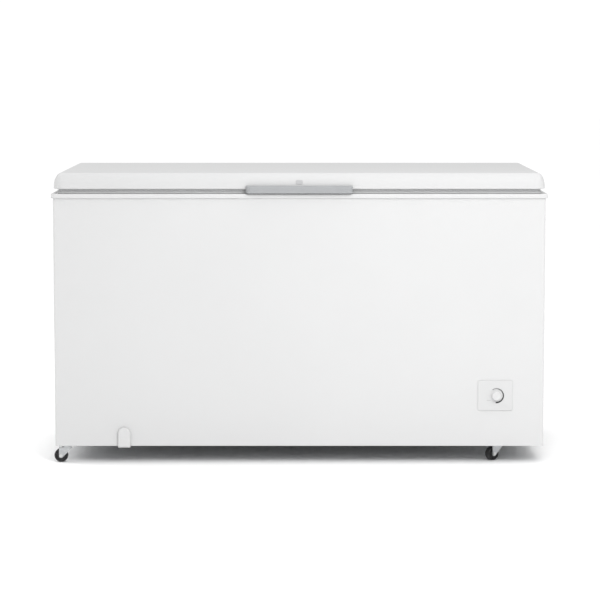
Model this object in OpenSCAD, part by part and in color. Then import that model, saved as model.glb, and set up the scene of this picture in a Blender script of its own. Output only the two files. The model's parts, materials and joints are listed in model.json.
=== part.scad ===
// Chest freezer with a hinged lid, a skin-cooled cabinet, a hanging basket and swivel casters.
// The front faces -Y. The origin is on the floor, under the middle of the whole freezer.

/* [Cabinet] */
// Width of the painted body
body_w = 1420; // [1360:10:1500]
// Depth of the painted body
body_d = 680; // [640:10:720]
// Height of the body's lower edge over the floor
body_bottom = 51; // [51:1:60]
// Height of the body's upper edge over the floor
body_top = 772; // [740:1:820]
// Thickness of the insulated walls
wall = 66; // [60:1:80]
// Height of the liner's floor over the floor
liner_floor = 119; // [112:1:130]
// Thickness of the sheet metal skins
sheet = 1.2; // [0.8:0.1:1.6]

/* [Machine compartment] */
// Left side of the compartment, from the middle
machine_x = 460; // [440:1:470]
// Top of the compartment over the floor
machine_top = 270; // [262:1:275]
// Left side of the step in the liner, from the middle
step_x = 395; // [385:1:400]
// Top of the step in the liner
step_top = 335; // [330:1:345]

/* [Top frame] */
// Height of the frame's rim
frame_h = 13; // [10:1:15]
// Overhang of the rim past the front and the sides
frame_over = 6; // [3:1:8]
// Depth of the frame's skirt inside the liner
skirt_h = 30; // [26:1:34]
// Width of the ledge that the basket hangs on
ledge_w = 8; // [6:1:9]

/* [Lid] */
// Height of the lid's outer panel
lid_h = 46; // [42:1:60]
// How far the lid's rounded edge reaches inward
lid_round = 22; // [18:1:40]
// Height of the lid's rounded edge
lid_rise = 40; // [30:1:40]
// Height of the gap that the gasket fills
gasket_h = 14; // [12:1:16]
// Distance of the gasket from the body's outer faces
gasket_in = 10; // [8:1:14]
// How far the lid's inner panel reaches below the lid
plug_h = 37; // [30:1:38]

/* [Handle and badge] */
// Length of the handle
handle_l = 308; // [240:1:360]
// How far the handle stands out of the body
handle_out = 20; // [16:1:24]
// Width of the badge
badge_w = 20; // [14:1:30]
// Height of the badge
badge_h = 12; // [8:1:14]

/* [Hinges] */
// Distance of each hinge from the middle
hinge_x = 470; // [380:1:520]
// How far the hinges stand out of the back
hinge_out = 34; // [34:1:38]
// Radius of the hinge pin
pin_r = 4; // [3:0.5:4.5]
// Plunger travel for each radian that the lid turns
cam_base_r = 10; // [9:0.5:10]

/* [Controls] */
// Middle of the knob, from the middle of the body
knob_x = 572; // [560:1:580]
// Height of the knob's middle over the floor
knob_z = 199; // [190:1:205]
// Width of the control panel
panel_w = 100; // [90:1:110]
// Height of the control panel
panel_h = 88; // [80:1:96]
// Radius of the knob
knob_r = 15; // [13:0.5:18]

/* [Drain] */
// Middle of the drain, from the middle of the body
drain_x = -509; // [-540:1:-480]
// Width of the drain cap
drain_cap_w = 37; // [34:1:40]
// Height of the drain cap
drain_cap_h = 59; // [54:1:62]

/* [Casters] */
// Radius of the wheels
wheel_r = 20; // [18:0.5:20]
// Width of the wheels
wheel_w = 18; // [14:1:20]
// Distance of the axle behind the swivel pin
trail = 18; // [14:1:18]

/* [Basket] */
// Width of the basket
basket_w = 330; // [240:10:360]
// Height of the basket
basket_h = 230; // [180:10:240]
// Distance between the basket's upright wires
wire_step = 41; // [30:1:55]

/* [Hidden] */
$fn = 48;

white = "whitesmoke";
grey = "silver";
dark = [0.12, 0.12, 0.13];
steel = [0.72, 0.73, 0.75];
copper = [0.76, 0.45, 0.3];
foam = [0.93, 0.86, 0.62];

// Side planes of the body: the whole freezer's box is centred on the origin
side = body_w / 2;
y_front = -(body_d + hinge_out - handle_out) / 2;
y_back = y_front + body_d;
cut = 1;            // overshoot of a cutting shape
fit = 0.05;         // radial clearance of a running fit
apart = 0.3;        // clearance between faces that pass each other

// Cabinet
wrap_r = 6;         // corner of the painted wrap
liner_r = 40;       // upright corner of the liner
liner_t = 1;
coil_gap = 12;      // room between liner and foam for the evaporator
skin_gap = 11;      // room between wrap and foam for the condenser
foam_bottom = body_bottom + 3.5;
frame_top = body_top + frame_h;
skirt_t = 3;
skirt_gap = 0.5;
frame_in = wall + skirt_gap + skirt_t;          // skirt's inner face, from the body's planes
ledge_top = body_top - skirt_h + skirt_t;

// Lid
badge_a = 19;       // how far up the rounded edge the badge sits
badge_t = 1;
lid_bottom = frame_top + gasket_h;
lid_top = lid_bottom + lid_h;
lid_side = side - 1;
lid_skin = 1.5;
lid_corner = lid_round + 5;
lid_foam_back = 12;
plug_gap = 8;       // clearance of the inner panel from the frame's skirt
plug_in = frame_in + plug_gap;
plug_r = 30;
plug_bottom = lid_bottom - plug_h;
panel_t = 1.5;

// Refrigeration tubes
evaporator_r = 4;
condenser_r = 3;
capillary_r = 1.2;
evaporator_in = wall - liner_t - apart - evaporator_r;
condenser_in = sheet + apart + condenser_r + 0.2;
condenser_bend = 26;
evaporator_bend = liner_r;
evaporator_z = 350;
evaporator_step = 55;
evaporator_turns = 7;
condenser_z = 300;
condenser_step = 70;
condenser_runs = 6;
riser_x = side - evaporator_in;
riser_y = y_back - evaporator_in - evaporator_bend;
riser_bore = 14;
capillary_x = riser_x + evaporator_r + capillary_r + 0.7;
capillary_y = riser_y - 6;
evaporator_top = evaporator_z + evaporator_step * evaporator_turns;
uturn_y = y_back - 95;
return_y = y_back - 40;
drier_x = 676;
drier_z = [120, 226];
drier_r = 9.5;

// Compressor
pot_x = 584;
pot_y = 150;
pot_r = 68;
pot_z = [75, 236];
foot_z = 70;
foot_t = 2.5;
foot_x = 84;
foot_y = 52;
tray_t = 2;
bolt_r = 4;

// Covers
cover_x = [462, 698];
cover_z = [56, 268];
cover_rim = 12;
cover_screw_r = 2;
vent_t = 3;
vent_y = [60, 240];
vent_z = [90, 250];
gland_x = 672;
gland_z = 84;
gland_r = 8;
gland_bore = 4;
gland_l = 14;

// Controls
panel_x = knob_x - 3.5;
panel_out = 2.5;
knob_l = 12;
shaft_r = 3;
bushing_r = 5;
control_hole_r = 20;

// Drain
drain_z = 84;
drain_y = y_front + wall + 50;
drain_bore = 8.5;
drain_socket = 10;
drain_wall = 2.5;
pipe_r = drain_bore + drain_wall;
sump_r = drain_socket + drain_wall;
sump_z = drain_z - 13;
drain_cap_out = 10;
drain_cap_top = 106;

// Hinges: the pin's axis lies level with the lid's lower edge
pin_y = y_back + hinge_out - 8;
pin_z = lid_bottom;
ear_r = 8;
cheek_x = 18;
cheek_t = 2.5;
bracket_w = 60;
bracket_t = 3;
hinge_screw_r = 2.4;
bracket_z = [body_bottom + 636, frame_top - 4];
shelf_z = bracket_z[0] + 21;
shelf_t = 4;
cam_closed = 2.2;                               // involute angle at which the closed lid rests
cam_from = 0.7;
cam_to = 2.3;
plunger_y = pin_y - cam_base_r;
plunger_top = pin_z - cam_base_r * cam_closed - apart;
plunger_head = 4;
stem_r = 3;
spring_wire = 1.2;
spring_turns = 8;

// Casters: name, pivot and the direction in which the wheel trails
CASTERS = [
    [-side + 33, y_front + 28, 180],
    [580, y_front + 70, 215],
    [-side + 33, y_back - 60, 130],
    [620, y_back - 70, 160]
];
fork_t = 2.2;
fork_top = 44.2;
fork_gap = wheel_w / 2 + 0.5;
axle_r = 3;
axle_z = wheel_r;
kingpin_r = 4;
race_r = 14;
race_z = fork_top + 0.4;
plate_z = body_bottom - 2.5;
plate_w = 44;
plate_screw = 17;
caster_screw_r = 2.5;

// Basket
wire_r = 2;
rail_r = 2.5;
basket_x = -600;
basket_y = [y_front + frame_in + ledge_w + 8, y_back - frame_in - ledge_w - 8];
rail_z = ledge_top + apart + rail_r;
basket_z = [rail_z - basket_h, rail_z];

// ---------------------------------------------------------------- helpers

// Points of a rounded rectangle, anticlockwise from the right side's upper corner
function outline(x0, y0, x1, y1, r, n = 6) = [
    for (c = [[x1 - r, y1 - r, 0], [x0 + r, y1 - r, 90], [x0 + r, y0 + r, 180], [x1 - r, y0 + r, 270]])
        for (i = [0 : n]) [c.x + r * cos(c.z + 90 * i / n), c.y + r * sin(c.z + 90 * i / n)]
];

// Outline of the body in plan, drawn in from its four faces
function plan(inset, r, n = 6) =
    outline(-side + inset, y_front + inset, side - inset, y_back - inset, r, n);

module slab(points, z0, z1) {
    translate([0, 0, z0]) linear_extrude(z1 - z0) polygon(points);
}

// Upright ring between two outlines
module ring(outer, inner, z0, z1) {
    translate([0, 0, z0]) linear_extrude(z1 - z0) difference() {
        polygon(outer);
        polygon(inner);
    }
}

module block(low, high) {
    translate(low) cube(high - low);
}

// Cylinder along +Y from a point
module rod_y(at, r, l) {
    translate(at) rotate([-90, 0, 0]) cylinder(r = r, h = l);
}

// Cylinder along +X from a point
module rod_x(at, r, l) {
    translate(at) rotate([0, 90, 0]) cylinder(r = r, h = l);
}

function unit(v) = v / norm(v);

// Path with every corner turned into a smooth bend
function bent(path, r, n = 4) = [
    path[0],
    for (i = [1 : len(path) - 2])
        let (a = path[i] + r * unit(path[i - 1] - path[i]), b = path[i] + r * unit(path[i + 1] - path[i]))
            for (s = [0 : 1 / n : 1]) (1 - s) * (1 - s) * a + 2 * s * (1 - s) * path[i] + s * s * b,
    path[len(path) - 1]
];

function tangents(path) = [
    for (i = [0 : len(path) - 1])
        unit(unit(path[min(i + 1, len(path) - 1)] - path[min(i, len(path) - 2)])
            + unit(path[max(i, 1)] - path[max(i - 1, 0)]))
];

// Round tube swept along a path, its cross-section carried along without twist
module tube(path, r, sides = 6) {
    t = tangents(path);
    start = abs(t[0].z) < 0.9 ? [0, 0, 1] : [1, 0, 0];
    n = len(path);
    up = [for (i = 0, u = unit(start - (start * t[0]) * t[0]); i < n;
        i = i + 1, u = i < n ? unit(u - (u * t[i]) * t[i]) : u) u];
    points = [for (i = [0 : n - 1], k = [0 : sides - 1])
        path[i] + r * (cos(360 * k / sides) * up[i] + sin(360 * k / sides) * cross(t[i], up[i]))];
    walls = [for (i = [0 : n - 2], k = [0 : sides - 1], half = [0, 1])
        let (a = i * sides + k, b = i * sides + (k + 1) % sides)
            half == 0 ? [a, a + sides, b] : [b, a + sides, b + sides]];
    polyhedron(points, concat(walls, [
        [for (k = [0 : sides - 1]) k],
        [for (k = [sides - 1 : -1 : 0]) (n - 1) * sides + k]
    ]));
}

// Pan head screw with its head's underside at a point, pointing along -Z
module screw(head_r, head_h, shank_r, shank_l) {
    difference() {
        cylinder(r = head_r, h = head_h);
        translate([0, 0, head_h - 1]) cube([1.2, head_r * 1.3, 4], center = true);
        translate([0, 0, head_h - 1]) cube([head_r * 1.3, 1.2, 4], center = true);
    }
    translate([0, 0, -shank_l]) cylinder(r = shank_r, h = shank_l);
}

// ---------------------------------------------------------------- cabinet

module outer_wrap() {
    color(white) difference() {
        ring(plan(0, wrap_r), plan(sheet, wrap_r - sheet), body_bottom, body_top);
        block([-side - cut, y_back - wrap_r, 0], [side + cut, y_back + cut, body_top + cut]);
        rod_y([knob_x, y_front - cut, knob_z], control_hole_r, 4);
        rod_y([drain_x, y_front - cut, drain_z], pipe_r, 4);
        block([side - vent_t - cut, vent_y[0], vent_z[0]], [side + cut, vent_y[1], vent_z[1]]);
    }
}

module back_panel() {
    color(white) difference() {
        union() {
            block([-side + sheet, y_back - sheet, body_bottom], [side - sheet, y_back, body_top]);
            for (s = [-1, 1])
                translate([s * (side - sheet / 2), y_back - wrap_r / 2, (body_bottom + body_top) / 2])
                    cube([sheet, wrap_r, body_top - body_bottom], center = true);
        }
        block([cover_x[0] + cover_rim, y_back - 3, cover_z[0] + cover_rim],
            [cover_x[1] - cover_rim, y_back + cut, cover_z[1] - cover_rim]);
        hinge_screw_places() rod_y([0, -20, 0], hinge_screw_r, 30);
        cover_screw_places() rod_y([0, -20, 0], cover_screw_r, 30);
    }
}

module base_panel() {
    color(steel) difference() {
        block([-side + sheet, y_front + sheet, body_bottom],
            [machine_x, y_back - sheet, body_bottom + sheet]);
        caster_screw_places() cylinder(r = caster_screw_r, h = 20, center = true);
    }
}

module inner_liner() {
    bottom = liner_floor - liner_t;
    color(white) difference() {
        slab(plan(wall - liner_t, liner_r + liner_t), bottom, body_top);
        difference() {
            slab(plan(wall, liner_r), liner_floor, body_top + cut);
            block([step_x, y_front, 0], [side, y_back, step_top]);
        }
        block([step_x + liner_t, y_front, 0], [side, y_back, step_top - liner_t]);
        translate([drain_x, drain_y, 0]) cylinder(r = sump_r, h = liner_floor + cut);
    }
}

module cabinet_insulation() {
    room = wall - liner_t - coil_gap;
    corner = condenser_in + condenser_bend - skin_gap;
    color(foam) difference() {
        slab(plan(skin_gap, corner), foam_bottom, body_top - 2);
        slab(plan(room, liner_r + coil_gap), step_top - liner_t, body_top);
        intersection() {
            slab(plan(room, liner_r + coil_gap), liner_floor - liner_t, step_top);
            block([-side, y_front, 0], [step_x + liner_t, y_back, body_top]);
        }
        block([machine_x - sheet, y_front - cut, 0], [side + cut, y_back + cut, machine_top + sheet]);
        translate([riser_x, riser_y, machine_top]) cylinder(r = riser_bore, h = step_top - machine_top);
        rod_y([drain_x, y_front - cut, drain_z], pipe_r + apart, drain_y - y_front + cut);
        translate([drain_x, drain_y, sump_z - cut])
            cylinder(r = sump_r + apart, h = liner_floor - sump_z + cut);
    }
}

module top_frame() {
    rim = outline(-side - frame_over, y_front - frame_over, side + frame_over, y_back, wrap_r + frame_over);
    mouth = plan(frame_in, liner_r - skirt_gap - skirt_t);
    shelf = plan(frame_in + ledge_w, liner_r - skirt_gap - skirt_t - ledge_w);
    outer_skirt = plan(wall + skirt_gap, liner_r - skirt_gap);
    color(white) {
        ring(rim, mouth, body_top, frame_top);
        ring(outer_skirt, mouth, ledge_top, body_top);
        ring(outer_skirt, shelf, ledge_top - skirt_t, ledge_top);
    }
}

// Sheet that walls the compartment off from the foam
module machine_wall() {
    color(steel) difference() {
        union() {
            block([machine_x - sheet, y_front + sheet, body_bottom + sheet],
                [machine_x, y_back - sheet, machine_top]);
            block([machine_x - sheet, y_front + sheet, machine_top],
                [side - skin_gap, y_back - sheet, machine_top + sheet]);
        }
        translate([riser_x, riser_y, 0]) cylinder(r = riser_bore, h = body_top);
    }
}

// ---------------------------------------------------------------- refrigeration

module evaporator_coil() {
    points = plan(evaporator_in, evaporator_bend, 4);
    count = len(points);
    corner = count / 4;
    path = [for (i = [0 : evaporator_turns * count])
        [points[i % count].x, points[i % count].y, evaporator_z + evaporator_step * floor(i / corner) / 4]];
    color(steel) tube(path, evaporator_r);
}

// One run of the condenser round the front, from the right side to the left
function condenser_run(z) = let (x = side - condenser_in, y = y_front + condenser_in, r = condenser_bend) [
    [x, uturn_y, z],
    for (i = [0 : 3]) [x - r + r * cos(30 * i), y + r - r * sin(30 * i), z],
    for (i = [0 : 3]) [-x + r - r * sin(30 * i), y + r - r * cos(30 * i), z],
    [-x, uturn_y, z]
];

function reversed(list) = [for (i = [len(list) - 1 : -1 : 0]) list[i]];

// Upright half-turn that joins two runs
function uturn(x, z) = [for (a = [30 : 30 : 150])
    [x, uturn_y + condenser_step / 2 * sin(a), z + condenser_step / 2 * (1 - cos(a))]];

module condenser_coil() {
    x = side - condenser_in;
    last_z = condenser_z + condenser_step * (condenser_runs - 1);
    runs = [for (k = [0 : condenser_runs - 1])
        let (z = condenser_z + condenser_step * k, run = condenser_run(z))
            each concat(k % 2 == 0 ? run : reversed(run),
                k < condenser_runs - 1 ? uturn(k % 2 == 0 ? -x : x, z) : [])];
    outlet = bent([
        [x, uturn_y + 10, last_z],
        [x, return_y, last_z],
        [x, return_y, 268],
        [drier_x, return_y - 3, 244],
        [drier_x, return_y - 3, drier_z[1]]
    ], 12);
    color(copper) tube(concat(runs, outlet), condenser_r);
}

module compressor_tray() {
    color(steel) difference() {
        block([machine_x, y_front + sheet, body_bottom],
            [side - sheet, y_back - sheet, body_bottom + tray_t]);
        bolt_places() cylinder(r = bolt_r, h = 200, center = true);
        caster_screw_places() cylinder(r = caster_screw_r, h = 20, center = true);
    }
}

module bolt_places() {
    for (x = [-foot_x, foot_x], y = [-foot_y, foot_y])
        translate([pot_x + x, pot_y + y, 0]) children();
}

module compressor_shell() {
    dome = 34;
    seam = (pot_z[0] + pot_z[1]) / 2;
    profile = concat(
        [[0, pot_z[0]]],
        [for (a = [-75 : 15 : 0]) [pot_r * cos(a), pot_z[0] + dome + dome * sin(a)]],
        [[pot_r, seam - 4], [pot_r + 4, seam - 4], [pot_r + 4, seam + 4], [pot_r, seam + 4]],
        [for (a = [0 : 15 : 75]) [pot_r * cos(a), pot_z[1] - dome + dome * sin(a)]],
        [[0, pot_z[1]]]
    );
    color(dark) {
        translate([pot_x, pot_y, 0]) rotate_extrude($fn = 64) polygon(profile);
        difference() {
            union() {
                block([pot_x - foot_x - 16, pot_y - foot_y - 14, foot_z],
                    [pot_x + foot_x + 16, pot_y - foot_y + 14, foot_z + foot_t]);
                block([pot_x - foot_x - 16, pot_y + foot_y - 14, foot_z],
                    [pot_x + foot_x + 16, pot_y + foot_y + 14, foot_z + foot_t]);
                block([pot_x - 40, pot_y - foot_y, foot_z], [pot_x + 40, pot_y + foot_y, foot_z + foot_t]);
            }
            bolt_places() cylinder(r = 6, h = 200);
        }
        translate([pot_x, pot_y, foot_z]) cylinder(r = 34, h = 14);
    }
}

module compressor_terminal_cover() {
    color(dark) difference() {
        block([pot_x - pot_r - 26, pot_y - 30, 118], [pot_x - pot_r + 12, pot_y + 30, 142]);
        translate([pot_x, pot_y, 0]) cylinder(r = pot_r + apart, h = 300, $fn = 64);
    }
}

module compressor_grommets() {
    base = body_bottom + tray_t;
    color(dark) bolt_places() difference() {
        union() {
            translate([0, 0, base]) cylinder(r = 12, h = foot_z - base);
            translate([0, 0, foot_z - cut]) cylinder(r = 6, h = foot_t + 2 * cut);
            translate([0, 0, foot_z + foot_t]) cylinder(r = 10, h = 5);
        }
        cylinder(r = bolt_r, h = 200);
    }
}

module compressor_bolts() {
    top = foot_z + foot_t + 5;
    color(steel) bolt_places() {
        translate([0, 0, body_bottom]) cylinder(r = bolt_r, h = top - body_bottom);
        translate([0, 0, top]) cylinder(r = 7, h = 5, $fn = 6);
    }
}

module filter_drier() {
    neck = 12;
    color(copper) translate([drier_x, return_y - 3, 0]) rotate_extrude() polygon([
        [0, drier_z[0]], [3.5, drier_z[0]], [drier_r, drier_z[0] + neck],
        [drier_r, drier_z[1] - neck], [4, drier_z[1]], [0, drier_z[1]]
    ]);
}

module capillary_tube() {
    turns = 4;
    coil_r = 20;
    y = return_y - 3;
    start = [drier_x, y, drier_z[0]];
    centre = [drier_x - coil_r - 6, y - 8, 96];
    coil = [for (a = [0 : 30 : 360 * turns])
        centre + [coil_r * cos(a), -coil_r * sin(a), -a / 90]];
    tail = bent([
        centre + [coil_r, -8, -4 * turns - 1],
        [capillary_x, capillary_y, 76],
        [capillary_x, capillary_y, evaporator_top + 18],
        [riser_x, capillary_y + 3, evaporator_top + 18],
        [riser_x, capillary_y + 6, evaporator_top + evaporator_r + 1]
    ], 4);
    color(copper) tube(concat([start, start - [0, 0, 10]], coil, tail), capillary_r, 5);
}

// From the evaporator's lower end to the compressor
module suction_line() {
    way = [riser_x - pot_x, riser_y - pot_y, 0];
    port = [pot_x, pot_y, 195] + (pot_r + 0.2) * unit(way);
    color(copper) tube(bent([
        [riser_x, riser_y + 1, evaporator_z - evaporator_r - 0.5],
        [riser_x, riser_y, 195],
        port
    ], 20), evaporator_r, 8);
}

// From the compressor to the condenser's first run
module discharge_line() {
    x = side - condenser_in;
    y = uturn_y + 24;
    way = unit([x - pot_x, y - pot_y, 0]);
    color(copper) tube(bent([
        [pot_x, pot_y, 215] + (pot_r - 2) * way,
        [x, y, 215],
        [x, y, condenser_z],
        [x, uturn_y + 0.5, condenser_z]
    ], 12), condenser_r);
}

// ---------------------------------------------------------------- electrics and covers

module thermostat_body() {
    front = y_front - panel_out;
    color(steel) {
        block([knob_x - 22, y_front + 6, knob_z - 18], [knob_x + 22, y_front + 36, knob_z + 18]);
        rod_y([knob_x, front, knob_z], bushing_r, 6 + panel_out + cut);
        rod_y([knob_x, front - 10, knob_z], shaft_r, 12);
    }
}

module control_panel() {
    shape = outline(-panel_w / 2, -panel_h / 2, panel_w / 2, panel_h / 2, 5);
    color(white) difference() {
        translate([panel_x, y_front, knob_z]) rotate([90, 0, 0]) linear_extrude(panel_out) polygon(shape);
        rod_y([knob_x, y_front - 5, knob_z], bushing_r, 10);
    }
}

module cover_screw_places() {
    edge = 6;
    middle = (cover_z[0] + cover_z[1]) / 2;
    for (x = [cover_x[0] + edge, cover_x[1] - edge], z = [cover_z[0] + edge, middle, cover_z[1] - edge])
        translate([x, y_back, z]) children();
}

module rear_cover() {
    rows = 8;
    slot = [80, 5];
    pitch = [106, 18];
    first = [cover_x[0] + 24, cover_z[1] - 36];
    color(steel) difference() {
        block([cover_x[0], y_back, cover_z[0]], [cover_x[1], y_back + sheet, cover_z[1]]);
        for (col = [0, 1], row = [0 : rows - 1])
            translate([first.x + col * pitch.x, y_back - cut, first.y - row * pitch.y])
                cube([slot.x, 4, slot.y]);
        cover_screw_places() rod_y([0, -cut, 0], cover_screw_r, 4);
        rod_y([gland_x, y_back - cut, gland_z], gland_r, 4);
    }
}

module rear_cover_screws() {
    color(steel) cover_screw_places()
        translate([0, sheet, 0]) rotate([-90, 0, 0]) screw(4, 2.2, cover_screw_r, 8);
}

// Strain relief for the supply cord
module cord_gland() {
    flange_r = 11.5;
    flange_t = 4;
    color(dark) difference() {
        union() {
            rod_y([gland_x, y_back + sheet + flange_t - gland_l, gland_z], gland_r, gland_l);
            rod_y([gland_x, y_back + sheet, gland_z], flange_r, flange_t);
            rod_y([gland_x, y_back - flange_t, gland_z], flange_r, flange_t);
        }
        rod_y([gland_x, y_back - gland_l, gland_z], gland_bore, 2 * gland_l);
    }
}

module side_vent_grille() {
    rows = 7;
    slot = [74, 7];
    pitch = [82, 20];
    first = [vent_y[0] + 12, vent_z[0] + 16];
    color(white) difference() {
        block([side - vent_t, vent_y[0], vent_z[0]], [side, vent_y[1], vent_z[1]]);
        for (row = [0 : rows - 1], col = [0, 1])
            translate([side - vent_t - cut, first.x + col * pitch.x, first.y + row * pitch.y])
                cube([vent_t + 2 * cut, slot.x, slot.y]);
    }
}

// ---------------------------------------------------------------- drain

module drain_tube() {
    color(grey) difference() {
        union() {
            rod_y([drain_x, y_front, drain_z], pipe_r, drain_y - y_front);
            translate([drain_x, drain_y, sump_z]) cylinder(r = sump_r, h = liner_floor - sump_z);
        }
        rod_y([drain_x, y_front - cut, drain_z], drain_bore, drain_y - y_front + cut);
        translate([drain_x, drain_y, sump_z + 3]) cylinder(r = drain_socket, h = liner_floor);
    }
}

// Tongue with a round top, drawn in by inset
function tongue(inset) = let (
    r = drain_cap_w / 2 - inset,
    low = drain_cap_top - drain_cap_h + inset,
    high = drain_cap_top - drain_cap_w / 2
) [[-r, low], [r, low], for (a = [0 : 15 : 180]) [r * cos(a), high + r * sin(a)]];

module drain_cap() {
    chamfer = 3;
    color(white) {
        translate([drain_x, y_front - apart, 0]) rotate([90, 0, 0]) hull() {
            linear_extrude(drain_cap_out - apart - chamfer) polygon(tongue(0));
            linear_extrude(drain_cap_out - apart) polygon(tongue(chamfer));
        }
        rod_y([drain_x, y_front - apart - cut, drain_z], drain_bore - fit, 14);
    }
}

module drain_plug() {
    color(grey) translate([drain_x, drain_y, 0]) {
        translate([0, 0, liner_floor - 14]) cylinder(r = drain_socket - fit, h = 16);
        translate([0, 0, liner_floor + apart]) cylinder(r = drain_socket + 8, h = 4);
        translate([-7, -1.5, liner_floor + apart + 3]) cube([14, 3, 9]);
    }
}

// ---------------------------------------------------------------- lid

// Point on the lid's rounded edge, some way under its outer skin: first value inward, second up
function on_edge(a, under = 0) =
    [lid_round - (lid_round - under) * cos(a), lid_h - lid_rise + (lid_rise - under) * sin(a)];

// Cross-section of the lid's skin at an edge
function lid_edge() = concat(
    [[0, 0]],
    [for (a = [0 : 10 : 90]) on_edge(a)],
    [[lid_corner, lid_h], [lid_corner, lid_h - lid_skin]],
    [for (a = [90 : -10 : 0]) on_edge(a, lid_skin)],
    [[lid_skin, 0]]
);

module lid_side_strip() {
    translate([lid_side, y_back - lid_skin, lid_bottom]) rotate([90, 0, 0])
        linear_extrude(body_d - lid_skin - lid_corner) polygon([for (p = lid_edge()) [-p.x, p.y]]);
}

module lid_front_corner() {
    translate([lid_side - lid_corner, y_front + lid_corner, lid_bottom]) rotate([0, 0, -90])
        rotate_extrude(angle = 90, $fn = 48) polygon([for (p = lid_edge()) [lid_corner - p.x, p.y]]);
}

module lid_outer_panel() {
    inner = lid_side - lid_corner;
    back = concat(
        [[-lid_side, 0], [lid_side, 0]],
        [for (a = [0 : 10 : 90]) [lid_side - on_edge(a).x, on_edge(a).y]],
        [for (a = [90 : -10 : 0]) [on_edge(a).x - lid_side, on_edge(a).y]]
    );
    color(white) {
        for (s = [0, 1]) mirror([s, 0, 0]) {
            lid_side_strip();
            lid_front_corner();
        }
        translate([-inner, y_front, lid_bottom]) rotate([90, 0, 90])
            linear_extrude(2 * inner) polygon(lid_edge());
        block([-inner, y_front + lid_corner, lid_top - lid_skin], [inner, y_back - lid_skin, lid_top]);
        difference() {
            translate([0, y_back, lid_bottom]) rotate([90, 0, 0]) linear_extrude(lid_skin) polygon(back);
            lid_hinge_screw_places() rod_y([0, -20, 0], hinge_screw_r, 30);
        }
    }
}

// Foam in tiers that follow the inside of the lid's rounded edge
module lid_insulation() {
    under = lid_skin + apart;
    top = lid_h - under;
    tiers = concat([panel_t], [for (share = [0.5 : 0.1 : 0.9]) top * share], [top]);
    color(foam) {
        for (i = [0 : len(tiers) - 2]) {
            up = max(0, tiers[i + 1] - lid_h + lid_rise);
            inset = on_edge(asin(min(1, up / (lid_rise - under))), under).x;
            slab(outline(-lid_side + inset, y_front + inset, lid_side - inset, y_back - lid_foam_back,
                lid_corner - inset), lid_bottom + tiers[i], lid_bottom + tiers[i + 1]);
        }
        slab(plan(plug_in + panel_t, plug_r - panel_t), plug_bottom + panel_t, lid_bottom + panel_t);
    }
}

module lid_inner_panel() {
    flange = outline(-lid_side + 2, y_front + 2, lid_side - 2, y_back - 2, lid_corner - 2);
    outer = plan(plug_in, plug_r);
    inner = plan(plug_in + panel_t, plug_r - panel_t);
    color(white) {
        ring(flange, inner, lid_bottom, lid_bottom + panel_t);
        ring(outer, inner, plug_bottom + panel_t, lid_bottom);
        slab(outer, plug_bottom, plug_bottom + panel_t);
    }
}

module lid_gasket() {
    corner = 20;
    foot = [0, 3, 0, 16];
    bellows = [3, 10, 3, 13];
    magnet = [10, gasket_h - apart, 0, 14];
    color(grey) for (part = [foot, bellows, magnet])
        ring(plan(gasket_in + part[2], corner), plan(gasket_in + part[3], corner - part[3] + part[2]),
            lid_bottom - part[1], lid_bottom - part[0]);
}

// Pull that hooks out and down over the gasket, open from below
module lid_handle() {
    end_r = 14;
    section = concat(
        [[0, 9], [0, 0.5], [-16.5, 0.5], [-16.5, -12.5], [-20, -12.5]],
        [for (a = [180 : -15 : 90]) [-11 + 9 * cos(a), 9 * sin(a)]]
    );
    half = handle_l / 2;
    color(grey) intersection() {
        translate([-half, y_front - 0.1, lid_bottom]) rotate([90, 0, 90])
            linear_extrude(handle_l) polygon([for (p = section) [p.x * handle_out / 20, p.y]]);
        slab(outline(-half, y_front - handle_out, half, y_front + 40, end_r), lid_bottom - 20, lid_top);
    }
}

// Plate that lies against the lid's rounded front
module lid_badge() {
    at = on_edge(badge_a);
    lean = atan(tan(badge_a) * lid_round / lid_rise);
    color(grey) translate([0, y_front + at.x, lid_bottom + at.y]) rotate([90 - lean, 0, 0])
        linear_extrude(badge_t) polygon(outline(-badge_w / 2, -badge_h / 2, badge_w / 2, badge_h / 2, 3));
}

// ---------------------------------------------------------------- hinges

module hinge_screw_places() {
    for (s = [-1, 1], x = [-25, 25], z = [bracket_z[0] + 14, bracket_z[1] - 12])
        translate([s * hinge_x + x, y_back, z]) children();
}

module lid_hinge_screw_places() {
    for (s = [-1, 1], x = [-22, 22], z = [14, 31])
        translate([s * hinge_x + x, y_back, lid_bottom + z]) children();
}

module hinge_bracket(x) {
    low = bracket_z[0];
    color(steel) difference() {
        translate([x, 0, 0]) union() {
            block([-bracket_w / 2, y_back, low], [bracket_w / 2, y_back + bracket_t, bracket_z[1]]);
            for (s = [-1, 1]) translate([s * (cheek_x + cheek_t / 2) - cheek_t / 2, 0, 0]) {
                block([0, y_back + bracket_t - cut, low + 6], [cheek_t, pin_y + 3, pin_z - 12]);
                block([0, pin_y - ear_r + 0.5, pin_z - 20], [cheek_t, pin_y + ear_r - 0.5, pin_z]);
                rod_x([0, pin_y, pin_z], ear_r, cheek_t);
            }
            block([-cheek_x - cut, y_back + bracket_t - cut, shelf_z - shelf_t],
                [cheek_x + cut, plunger_y + 9, shelf_z]);
        }
        rod_x([x - 40, pin_y, pin_z], pin_r, 80);
        translate([x, plunger_y, low]) cylinder(r = stem_r + fit, h = 60);
        hinge_screw_places() rod_y([0, -cut, 0], hinge_screw_r, 10);
    }
}

module hinge_bracket_left() {
    hinge_bracket(-hinge_x);
}

module hinge_bracket_right() {
    hinge_bracket(hinge_x);
}

module hinge_pins() {
    half = cheek_x + cheek_t;
    color(steel) for (s = [-1, 1]) translate([s * hinge_x, 0, 0]) {
        rod_x([-half - 1.5, pin_y, pin_z], pin_r, 2 * half + 1.5);
        rod_x([half, pin_y, pin_z], 6.5, 2.5);
    }
}

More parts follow.
